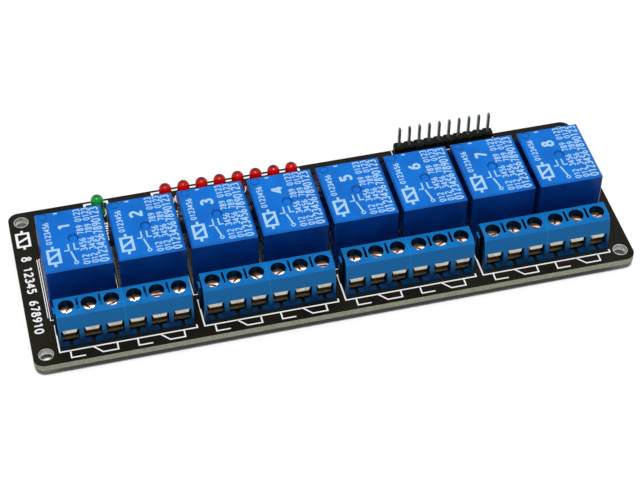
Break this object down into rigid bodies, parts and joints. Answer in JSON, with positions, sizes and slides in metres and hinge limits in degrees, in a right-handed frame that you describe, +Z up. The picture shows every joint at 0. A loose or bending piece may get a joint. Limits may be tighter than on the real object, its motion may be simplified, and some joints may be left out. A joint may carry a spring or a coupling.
{
  "type": "relay module board",
  "caption": "Circuit board with a row of sealed blue relays, screw terminal blocks along the front edge, lamps and an upright pin header at the back, and a mounting hole in each corner.",
  "frame": {"origin": "centre of the four mounting holes, on the underside of the board", "axes": "+X along the row of relays, with the pin header towards +X; +Y from the terminals' edge to the header's edge; +Z up, out of the component side"},
  "size_m": [0.142, 0.049, 0.0189],
  "materials": {
    "board": "satin black solder mask over glass-epoxy, with bare grey-green edges",
    "relay_case": "satin blue moulded case",
    "tinned_pin": "tin-plated, bright",
    "terminal_plastic": "satin blue moulded housing",
    "tinned_contact": "tin-plated sheet",
    "tinned_leaf": "bright tinned spring sheet",
    "screw": "yellowish zinc-plated steel",
    "header_plastic": "black moulded plastic",
    "header_pin": "plated square pins",
    "green_lens": "tinted clear epoxy, glossy",
    "red_lens": "tinted clear epoxy, glossy",
    "chip_plastic": "matte black epoxy",
    "diode_glass": "amber glass with a dark band",
    "chip_ceramic": "dark glazed ceramic",
    "solder": "shiny solder"
  },
  "bodies": {
    "root": {"circuit_board": "board", "relay_1": "relay_case", "relay_2": "relay_case", "relay_3": "relay_case", "relay_4": "relay_case", "relay_5": "relay_case", "relay_6": "relay_case", "relay_7": "relay_case", "relay_8": "relay_case", "relay_pins": "tinned_pin", "terminal_housing_1": "terminal_plastic", "terminal_housing_2": "terminal_plastic", "terminal_housing_3": "terminal_plastic", "terminal_housing_4": "terminal_plastic", "terminal_housing_5": "terminal_plastic", "terminal_housing_6": "terminal_plastic", "terminal_housing_7": "terminal_plastic", "terminal_housing_8": "terminal_plastic", "terminal_contacts_1": "tinned_contact", "terminal_contacts_2": "tinned_contact", "terminal_contacts_3": "tinned_contact", "terminal_contacts_4": "tinned_contact", "terminal_contacts_5": "tinned_contact", "terminal_contacts_6": "tinned_contact", "terminal_contacts_7": "tinned_contact", "terminal_contacts_8": "tinned_contact", "wire_leaves": "tinned_leaf", "terminal_screws": "screw", "header_body": "header_plastic", "header_pins": "header_pin", "green_led": "green_lens", "red_led_1": "red_lens", "red_led_2": "red_lens", "red_led_3": "red_lens", "red_led_4": "red_lens", "red_led_5": "red_lens", "red_led_6": "red_lens", "red_led_7": "red_lens", "red_led_8": "red_lens", "led_leads": "tinned_pin", "transistor_bodies": "chip_plastic", "transistor_leads": "tinned_pin", "diode_bodies": "diode_glass", "diode_caps": "tinned_pin", "resistor_bodies": "chip_ceramic", "resistor_ends": "tinned_pin", "solder_joints": "solder"}
  },
  "joints": []
}
